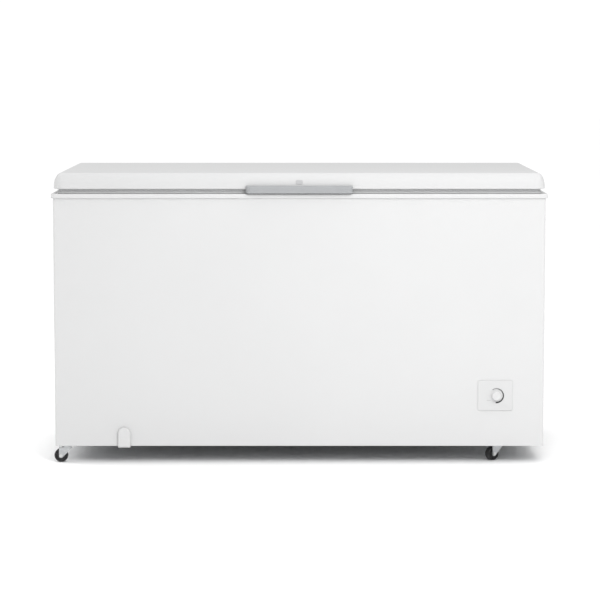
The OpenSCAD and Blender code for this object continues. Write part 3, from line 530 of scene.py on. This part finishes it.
def handle():
    """Pull strip hooked over the gasket: round ends, a rolled top and a pocket for the fingers."""
    start, end = low("lid_handle"), high("lid_handle")
    half = end.x
    out = FRONT - start.y
    bottom = start.z - LID_BOTTOM
    end_round = 14 * MM
    wall = 3.0 * MM
    outer, pocket = handle_section(out, bottom)
    stations = [half - end_round + end_round * math.sin(math.radians(a)) for a in range(0, 91, 6)]
    loops = []
    for x in [-x for x in reversed(stations)] + stations:
        over = max(0, abs(x) - (half - end_round))
        depth = out - end_round + math.sqrt(max(0, end_round ** 2 - over ** 2))
        squeeze = depth / out
        closed = abs(x) > half - wall
        loop = [(x, FRONT + y * squeeze, LID_BOTTOM + z) for y, z in outer]
        for y, z in pocket:
            loop.append((x, FRONT + y * squeeze, LID_BOTTOM + (bottom if closed else z)))
        loops.append(loop)
    verts, faces = loft(loops, cap_start=True, cap_end=True)
    made = piece("handle_grip", verts, faces, "lid", "handle_grey", ["lid_handle"])
    made.modifiers.new("normals", "WEIGHTED_NORMAL")


# ------------------------------------------------------------ cabinet

def rim():
    """Moulded top frame: rounded rim, skirt down the liner and the basket's ledge.

    Each profile point is its inset, its height and its corner radius in plan in millimetres.
    """
    over = high("top_frame").x - SIDE
    ledge = low("top_frame").z
    skirt = 69.5 * MM
    shelf = 77.5 * MM
    lip_round = 3 * MM
    mouth_round = 5 * MM
    profile = at(skirt, BODY_TOP, (-4, 0, 36))
    profile += at(-over, BODY_TOP, (1.2, 0, 11), (0.3, 0.4, 12), (0, 1.4, 12))
    for x, y in arc(0, 0, lip_round, 0, 90, 6):
        profile.append((-over + lip_round - x, FRAME_TOP - lip_round + y, 12))
    profile += at(0, FRAME_TOP, (4, 0, 20), (6, -0.8, 20), (30, -0.8, 30), (32, 0, 30))
    for x, y in arc(0, 0, mouth_round, 90, 0, 6):
        profile.append((skirt - mouth_round + x, FRAME_TOP - mouth_round + y, 36))
    profile += at(skirt, ledge, (0, 4.5, 36), (1, 3.2, 35))
    profile += at(shelf, ledge, (-1, 3, 30), (0, 2.2, 29), (0, 0.6, 29), (-0.6, 0, 29))
    profile += at(skirt, ledge, (-2.6, 0, 36), (-2.9, 1, 36))
    profile += at(skirt, BODY_TOP, (-2.9, -1, 36))
    loops = []
    for inset, z, radius in profile:
        back = max(inset, 0.1 * MM)
        back_corner = radius * MM if inset > 20 * MM else 4 * MM
        loops.append(plan_loop(inset, z, radius * MM, back=back, back_radius=back_corner, steps=10))
    verts, faces = loft(loops, join=True)
    piece("frame_rim", verts, faces, "cabinet", "white_plastic", ["top_frame"])


def control_front():
    """Raised square panel round the knob."""
    start, end = low("control_panel"), high("control_panel")
    out = FRONT - start.y
    corner = 5 * MM
    edge_round = 0.9 * MM
    profile = [(0, 0), (0, out - edge_round)]
    for x, y in arc(0, 0, edge_round, 0, 90, 4):
        profile.append((edge_round - x, out - edge_round + y))
    loops = []
    for inset, depth in profile:
        radius = max(corner - inset, MM)
        outline = rounded(start.x + inset, start.z + inset, end.x - inset, end.z - inset, radius, 6)
        loops.append([(x, FRONT - depth, z) for x, z in outline])
    verts, faces = loft(loops, cap_start=True, cap_end=True)
    piece("control_plate", verts, faces, "cabinet", "control_plastic", ["control_panel"])


KNOB = (low("thermostat_knob") + high("thermostat_knob")) / 2

# The dial's printed arc: its thin end and how far it runs clockwise, in degrees.
ARC_START = 125
ARC_SWEEP = 220

# Raised print, just thick enough to stand clear of the panel.
PRINT_THICK = 0.12 * MM
PRINT_EDGE = 0.04 * MM


def dial_share(tree):
    """How far round the printed arc a point lies, clockwise from its thin end."""
    place = node_of(tree, "ShaderNodeTexCoord")
    mapping = node_of(tree, "ShaderNodeMapping")
    mapping.inputs["Location"].default_value = (KNOB.x, 0, KNOB.z)
    mapping.vector_type = "TEXTURE"
    split = node_of(tree, "ShaderNodeSeparateXYZ")
    angle = node_of(tree, "ShaderNodeMath", operation="ARCTAN2")
    tree.links.new(place.outputs["Object"], mapping.inputs["Vector"])
    tree.links.new(mapping.outputs["Vector"], split.inputs["Vector"])
    tree.links.new(split.outputs["Z"], angle.inputs[0])
    tree.links.new(split.outputs["X"], angle.inputs[1])
    mapped = node_of(tree, "ShaderNodeMapRange")
    mapped.inputs["From Min"].default_value = math.radians(ARC_START)
    mapped.inputs["From Max"].default_value = math.radians(ARC_START - ARC_SWEEP)
    tree.links.new(angle.outputs["Value"], mapped.inputs["Value"])
    return mapped.outputs["Result"]


def ink(name, light, dark):
    """Printed ink that darkens round the knob, clockwise."""
    made = bpy.data.materials.new(name)
    made.use_nodes = True
    tree = made.node_tree
    shader = tree.nodes["Principled BSDF"]
    shader.inputs["Roughness"].default_value = 0.5
    fade = node_of(tree, "ShaderNodeValToRGB")
    fade.color_ramp.elements[0].color = (light, light, light, 1)
    fade.color_ramp.elements[1].color = (dark, dark, dark, 1)
    fade.color_ramp.elements[1].position = 0.5
    tree.links.new(dial_share(tree), fade.inputs["Fac"])
    speck = node_of(tree, "ShaderNodeMix", data_type="RGBA", blend_type="MULTIPLY")
    speck.inputs["Factor"].default_value = 0.12
    tree.links.new(fade.outputs["Color"], speck.inputs["A"])
    tree.links.new(tint(tree, noise(tree, 2500.0, 2.0), (0.6, 0.6, 0.6), (1, 1, 1)), speck.inputs["B"])
    tree.links.new(speck.outputs["Result"], shader.inputs["Base Color"])
    return made


def dial_arc():
    """Printed arc that grows from thin to thick round the knob."""
    centre = Vector((KNOB.x, low("control_panel").y, KNOB.z))
    lift = Vector((0, -PRINT_THICK, 0))
    radius = 20.3 * MM
    steps = 60
    loops = []
    for i in range(steps + 1):
        share = i / steps
        angle = math.radians(ARC_START - ARC_SWEEP * share)
        half = (1.2 + 1.1 * share) * MM
        direction = Vector((math.cos(angle), 0, math.sin(angle)))
        inner = centre + direction * (radius - half)
        outer = centre + direction * (radius + half)
        loops.append([inner, outer, outer + lift, inner + lift])
    verts, faces = loft(loops, cap_start=True, cap_end=True)
    made = piece("dial_arc", verts, faces, "cabinet", "grey_plastic")
    made.data.materials[0] = ink("dial_ink", 0.26, 0.03)
    soften(made, PRINT_EDGE, 1)


def off_mark():
    """Faint printed dash at the knob's lower left, its off position."""
    face = low("control_panel").y
    dash_x = KNOB.x - 22 * MM
    dash_z = KNOB.z - 14 * MM
    outline = rounded(-6 * MM, -0.8 * MM, 6 * MM, 0.8 * MM, 0.7 * MM, 4)
    loops = [[(dash_x + x, face - depth, dash_z + z) for x, z in outline] for depth in (0, PRINT_THICK)]
    verts, faces = loft(loops, cap_start=True, cap_end=True)
    made = piece("off_mark", verts, faces, "cabinet", "grey_plastic")
    made.data.materials[0] = surface("off_ink", (0.36, 0.36, 0.36), (0.42, 0.42, 0.42), rough=(0.45, 0.55),
                                     grain=1500.0)
    soften(made, PRINT_EDGE, 1)


def knob():
    """Turned knob: skirt, fluted grip and a dished face."""
    start, end = low("thermostat_knob"), high("thermostat_knob")
    length = end.y - start.y
    radius = (end.x - start.x) / 2
    flutes = 30
    flute_depth = 0.02
    skirt = at(radius, 0, (-0.8, 0), (0, 0.6), (0, 2.6), (-0.6, 3.4))
    grip = at(radius, 0, (-2, 4)) + at(radius, length, (-2, -1.6), (-2.3, -0.7))
    face = at(radius, length, (-3, -0.2), (-3.8, 0), (-5.5, -0.5)) + at(0, length, (4, -0.8), (0.5, -0.8))

    def flute(angle, i):
        fluted = len(skirt) <= i < len(skirt) + len(grip)
        return 1 - flute_depth * (0.5 - 0.5 * math.cos(flutes * angle)) if fluted else 1

    verts, faces = lathe(skirt + grip + face, (KNOB.x, end.y, KNOB.z), (0, -1, 0), 240, flute)
    piece("knob_cap", verts, faces, "knob", "knob_plastic", ["thermostat_knob"])


def knob_pointer():
    """Raised bar on the knob's face that points at the off mark."""
    turned = math.radians(-123)
    place = Matrix.Translation((KNOB.x, low("thermostat_knob").y, KNOB.z)) @ Matrix.Rotation(turned, 4, "Y")
    verts, faces = brick((-0.9 * MM, 0, -1 * MM), (0.9 * MM, 1.6 * MM, 10.5 * MM))
    made = piece("knob_pointer", [place @ v for v in verts], faces, "knob", "knob_plastic")
    soften(made, 0.4 * MM)


def tongue(start, end, inset, steps=16):
    """Outline of the drain cap seen from the front: square bottom with soft corners, round top."""
    half = (end.x - start.x) / 2 - inset
    middle = (start.x + end.x) / 2
    top = end.z - (end.x - start.x) / 2
    corner = 2.5 * MM
    level = start.z + inset + corner
    points = [(middle + x, top + z) for x, z in arc(0, 0, half, 0, 180, steps)]
    points += [(middle - half + corner + x, level + z) for x, z in arc(0, 0, corner, 180, 270, 4)]
    points += [(middle + half - corner + x, level + z) for x, z in arc(0, 0, corner, 270, 360, 4)]
    return points


def drain_outlet():
    """Tongue-shaped cap over the drain, with bevelled sides and a stem in the tube."""
    start, end = low("drain_cap"), high("drain_cap")
    out = FRONT - start.y
    full = 10
    profile = [(0.5, 0.3), (0, 0.9), (0, 6.2), (0.25, 7.0), (2.5, 9.2), (3.0, 9.6), (3.8, 9.9), (5.0, full)]
    loops = []
    for inset, depth in profile:
        loops.append([(x, FRONT - out * depth / full, z) for x, z in tongue(start, end, inset * MM)])
    cap = loft(loops, cap_start=True, cap_end=True)
    stem_z = low("drain_tube").z + 13 * MM
    middle = (start.x + end.x) / 2
    stem_profile = at(0, 0, (8.3, 0), (8.3, 11), (7.4, 12.5), (5, 12.6))
    stem = lathe(stem_profile, (middle, FRONT - MM, stem_z), (0, 1, 0), 32)
    verts, faces = joined(cap, stem)
    piece("drain_outlet_cap", verts, faces, "drain_cap", "white_plastic", ["drain_cap"])


def louvre(x, z, y):
    """One pressed hood, open at its lower edge."""
    wide, tall, out = 84 * MM, 11 * MM, 4.5 * MM
    across, down = 16, 6
    row = across + 1
    grid = []
    for j in range(down + 1):
        for i in range(row):
            u = 2 * i / across - 1
            v = j / down
            swell = (1 - abs(u) ** 4) ** 0.5 * math.sin(math.radians(90 * v)) ** 0.8 if v else 0
            grid.append(Vector((x + u * wide / 2, y + out * swell, z + tall * (0.5 - v))))
    for point in grid[-row:]:
        grid.append(Vector((point.x, max(y - 0.2 * MM, point.y - 0.9 * MM), point.z + 0.4 * MM)))
    faces = []
    for j in range(down + 1):
        for i in range(across):
            a = j * row + i
            faces.append((a, a + 1, a + row + 1, a + row))
    return grid, faces


def louvred_cover():
    """Rear compartment cover: pressed louvre hoods over its slots and a raised border."""
    start, end = low("rear_cover"), high("rear_cover")
    first_x, first_z = 64, 33.5
    pitch_x, pitch_z = 106, 18
    columns, rows = 2, 8
    gland_room = high("cord_gland").z + 8 * MM
    border = at(0, 0, (0, 0), (0, 0.9), (0.3, 1.2), (8, 1.2), (9.5, 2.2), (12, 2.4), (14.5, 2.2), (16, 1.2))
    loops = []
    for inset, depth in border:
        outline = rounded(start.x + inset, start.z + inset, end.x - inset, end.z - inset, 4 * MM, 5)
        loops.append([(x, BACK + depth, z) for x, z in outline])
    parts = [loft(loops, cap_start=True, cap_end=True)]
    for column in range(columns):
        for row in range(rows):
            x = start.x + (first_x + column * pitch_x) * MM
            z = end.z - (first_z + row * pitch_z) * MM
            beside_gland = column > 0 and row == rows - 1 and z < gland_room
            if not beside_gland:
                parts.append(louvre(x, z, BACK + 1.1 * MM))
    verts, faces = joined(*parts)
    piece("rear_louvre_cover", verts, faces, "cabinet", "galvanised_sheet", ["rear_cover"])


# ------------------------------------------------------------ hinges and casters

def coil_path(centre, radius, bottom, top, wire):
    """Helix with a closed turn at each end."""
    turns, steps = 9.5, 20
    closed_pitch = wire * 2.05
    path = []
    for i in range(int(turns * steps) + 1):
        turn = i / steps
        rise = min(max((turn - 1) / (turns - 2), 0), 1)
        closed = min(turn, 1) + max(0, turn - (turns - 1))
        z = bottom + closed * closed_pitch + (top - bottom - 2 * closed_pitch) * rise
        angle = 2 * math.pi * turn
        path.append((centre.x + radius * math.cos(angle), centre.y + radius * math.sin(angle), z))
    return path


def springs():
    """Compression springs with ground, closed end turns."""
    wire = 1.15 * MM
    for side in ("left", "right"):
        start, end = low(f"hinge_spring_{side}"), high(f"hinge_spring_{side}")
        radius = (end.x - start.x) / 2 - wire
        bottom = start.z + wire
        top = end.z - wire
        path = coil_path((start + end) / 2, radius, bottom, top, wire)
        verts, faces = tube(path, wire, 8)
        made = piece(f"spring_coil_{side}", verts, faces, None, "spring_steel", [f"hinge_spring_{side}"])
        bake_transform(made)


def wheel_tread(centre, axis):
    """Crowned tread and deep rim, drawn for a 20 mm radius and scaled to the wheel's own."""
    scale = centre.z / (20 * MM)
    profile = [(3.1, -9), (7.2, -9), (8.4, -8.6), (8.8, -7.6), (9.0, -5.2), (13.6, -5.2), (14.6, -5.6)]
    profile += [(15.2, -7.6), (16.2, -8.6), (17.6, -8.6), (18.9, -8.0), (19.6, -6.6), (19.9, -4), (20, 0)]
    profile += [(r, -y) for r, y in reversed(profile[:-1])]
    return lathe([(r * MM * scale, y * MM) for r, y in profile], centre, axis, 64)


def wheel_ribs(centre, axis):
    """Spokes between hub and rim, on both faces."""
    side = axis.orthogonal().normalized()
    spokes = 6
    parts = []
    for k in range(spokes):
        turn = Matrix.Rotation(2 * math.pi * k / spokes, 3, axis)
        for face in (-1, 1):
            basis = Matrix((side, axis.cross(side), axis * face)).transposed()
            verts, faces = brick((8.6 * MM, -0.9 * MM, 4.6 * MM), (14.4 * MM, 0.9 * MM, 7.6 * MM))
            parts.append(([centre + turn @ (basis @ v) for v in verts], faces))
    return parts


def wheels():
    """Caster wheels: crowned tread, deep rim and a spoked hub."""
    for corner in CORNERS:
        joint = JOINTS[f"wheel_spin_{corner}"]
        centre, axis = Vector(joint["pos_m"]), Vector(joint["axis"])
        verts, faces = joined(wheel_tread(centre, axis), *wheel_ribs(centre, axis))
        node = f"caster_wheel_{corner}"
        made = piece(f"wheel_{corner}", verts, faces, f"wheel_{corner}", "wheel_black", [node])
        soften(made, 0.35 * MM, 2, 40)


# ------------------------------------------------------------ basket

def basket_bands(x0, y0, x1, y1, z0, z1, wire, thin):
    """Level wires round the basket: heavy ones at the bottom and the rim, thin ones between."""
    outline = rounded(x0, y0, x1, y1, 12 * MM, 6)
    bands = []
    for level, radius in ((0, wire), (0.33, thin), (0.66, thin), (1, wire)):
        path = [(x, y, z0 + (z1 - z0) * level) for x, y in outline]
        bands.append(tube(path + [path[0]], radius, 8))
    return bands


def hoop(ends, bottom, top, bend, wire):
    """One U-shaped wire between two places in plan."""
    first, second = ends
    return tube(bent([(*first, top), (*first, bottom), (*second, bottom), (*second, top)], bend), wire, 8)


def basket_hoops(x0, y0, x1, y1, z0, z1, thin):
    """U-shaped wires down the walls and under the floor, both ways."""
    crosswise, lengthwise = 11, 17
    bend = 8 * MM
    inner = 2 * thin
    hoops = []
    for i in range(1, crosswise):
        x = x0 + (x1 - x0) * i / crosswise
        ends = [(x, y0 + inner), (x, y1 - inner)]
        hoops.append(hoop(ends, z0 + thin, z1, bend, thin))
    for i in range(1, lengthwise):
        y = y0 + (y1 - y0) * i / lengthwise
        ends = [(x0 + inner, y), (x1 - inner, y)]
        hoops.append(hoop(ends, z0 + 2 * thin, z1, bend, thin))
    return hoops


def basket_rails(x0, x1, sides, z, rail, wire):
    """Rails that run on the frame's ledges, tied to the rim."""
    rails = []
    for y_in, y_out in sides:
        rails.append(tube([(x0 + 10 * MM, y_out, z), (x1 - 10 * MM, y_out, z)], rail, 10))
        for share in (0.17, 0.5, 0.83):
            x = x0 + (x1 - x0) * share
            rails.append(tube([(x, y_in, z), (x, y_out, z)], wire, 8))
    return rails


def basket():
    """Bent-wire basket: round wires, a heavy rim and rails on the ledges."""
    start, end = low("wire_basket"), high("wire_basket")
    rail = 2.5 * MM
    wire = 2.0 * MM
    thin = 1.6 * MM
    inside = 12 * MM + rail
    x0, x1 = start.x + wire, end.x - wire
    y0, y1 = start.y + inside + wire, end.y - inside - wire
    z0, z1 = start.z + 3 * MM, end.z - rail - 0.5 * MM
    sides = ((y0, start.y + rail), (y1, end.y - rail))
    parts = basket_bands(x0, y0, x1, y1, z0, z1, wire, thin)
    parts += basket_hoops(x0, y0, x1, y1, z0, z1, thin)
    parts += basket_rails(x0, x1, sides, end.z - rail, rail, wire)
    verts, faces = joined(*parts)
    piece("basket_wires", verts, faces, "basket", "basket_wire", ["wire_basket"])


# ------------------------------------------------------------ CAD nodes that stay

# How far each CAD node's edges are rounded, in millimetres.
EDGE_GROUPS = {
    0.4: ["base_panel", "inner_liner", "machine_wall", "compressor_bolts", "rear_cover_screws",
          "hinge_screws", "lid_hinge_screws", "caster_plates", "caster_screws", "lid_badge"],
    0.5: ["outer_wrap", "hinge_plunger_left", "hinge_plunger_right", "drain_tube"],
    0.6: ["compressor_tray", "side_vent_grille", "thermostat_body", "hinge_bracket_left",
          "hinge_bracket_right", "hinge_pins", "hinge_leaf_left", "hinge_leaf_right"],
    0.8: ["compressor_grommets", "cord_gland", "drain_plug"],
    1.5: ["compressor_shell"],
    2.0: ["compressor_terminal_cover"],
}
EDGE_GROUPS[0.4] += [f"caster_axle_{corner}" for corner in CORNERS]
EDGE_GROUPS[0.5] += [f"caster_fork_{corner}" for corner in CORNERS]
EDGES = {node: width * MM for width, group in EDGE_GROUPS.items() for node in group}


def dress_nodes():
    """Gives each CAD node its slot's finish, and softens the edges of the ones that show."""
    for part in frame["record"]["subparts"]:
        made = nodes[part["node"]]
        made.data.materials.clear()
        made.data.materials.append(FINISH[part["material_slot"]])
        if part["node"] in EDGES and not made.hide_render:
            soften(made, EDGES[part["node"]], 2)


# ------------------------------------------------------------ stage

def surroundings():
    """Even white surroundings: a bright horizon, a dimmer band and a white sky."""
    horizon, band = 0.81, 0.46
    world = bpy.data.worlds.new("studio")
    bpy.context.scene.world = world
    world.use_nodes = True
    tree = world.node_tree
    glow = tree.nodes["Background"]
    glow.inputs["Strength"].default_value = 1.3
    place = node_of(tree, "ShaderNodeTexCoord")
    split = node_of(tree, "ShaderNodeSeparateXYZ")
    ramp = node_of(tree, "ShaderNodeValToRGB")
    stops = ramp.color_ramp.elements
    for height, level in ((0.035, horizon), (0.07, band), (0.4, band)):
        stops.new(height).color = (level, level, level, 1)
    stops[0].color = (horizon, horizon, horizon, 1)
    stops[-1].position = 0.62
    stops[-1].color = (1, 1, 1, 1)
    tree.links.new(place.outputs["Generated"], split.inputs["Vector"])
    tree.links.new(split.outputs["Z"], ramp.inputs["Fac"])
    tree.links.new(ramp.outputs["Color"], glow.inputs["Color"])


def ground():
    """Wide pale floor under the casters."""
    reach = 40.0
    corners = [(-reach, -reach, 0), (reach, -reach, 0), (reach, reach, 0), (-reach, reach, 0)]
    mesh = bpy.data.meshes.new("floor")
    mesh.from_pydata(corners, [], [(0, 1, 2, 3)])
    made = bpy.data.objects.new("floor", mesh)
    bpy.context.scene.collection.objects.link(made)
    paper = surface("floor_paper", (0.93, 0.93, 0.93), (0.95, 0.95, 0.95), rough=(0.85, 0.95), tint_scale=1.0)
    mesh.materials.append(paper)


def lamp(name, place, aim, size, power):
    """Round soft light that leaves no reflection of its own."""
    data = bpy.data.lights.new(name, "AREA")
    data.shape = "DISK"
    data.size = size
    data.energy = power
    made = bpy.data.objects.new(name, data)
    bpy.context.scene.collection.objects.link(made)
    made.location = place
    made.rotation_euler = (Vector(aim) - Vector(place)).to_track_quat("-Z", "Y").to_euler()
    made.visible_glossy = False


def stage():
    """White surroundings and floor, a soft key from the front right and a weak fill from the left."""
    surroundings()
    ground()
    lamp("key", (0.8, -2.6, 1.9), (0.2, FRONT, 0.4), 1.4, 42)
    lamp("fill", (-2.6, 0.4, 1.3), (-0.95, 0.1, 0), 1.2, 15)


def camera():
    """Long lens a little above the lid, tipped down to the middle of the body."""
    distance, height, aside = 6.889, 1.181, 0.0021
    tilt = math.radians(5.83)
    data = bpy.data.cameras.new("camera")
    data.sensor_width = 36
    data.lens = 143.7
    data.clip_end = 200
    made = bpy.data.objects.new("camera", data)
    bpy.context.scene.collection.objects.link(made)
    made.location = (aside, FRONT - distance, height)
    made.rotation_euler = (math.radians(90) - tilt, 0, 0)
    bpy.context.scene.camera = made


bpy.context.scene.view_settings.view_transform = "Standard"
lid_shell()
lid_inner_tray()
gasket()
handle()
rim()
control_front()
dial_arc()
off_mark()
knob()
knob_pointer()
drain_outlet()
louvred_cover()
springs()
wheels()
basket()
dress_nodes()
stage()
camera()
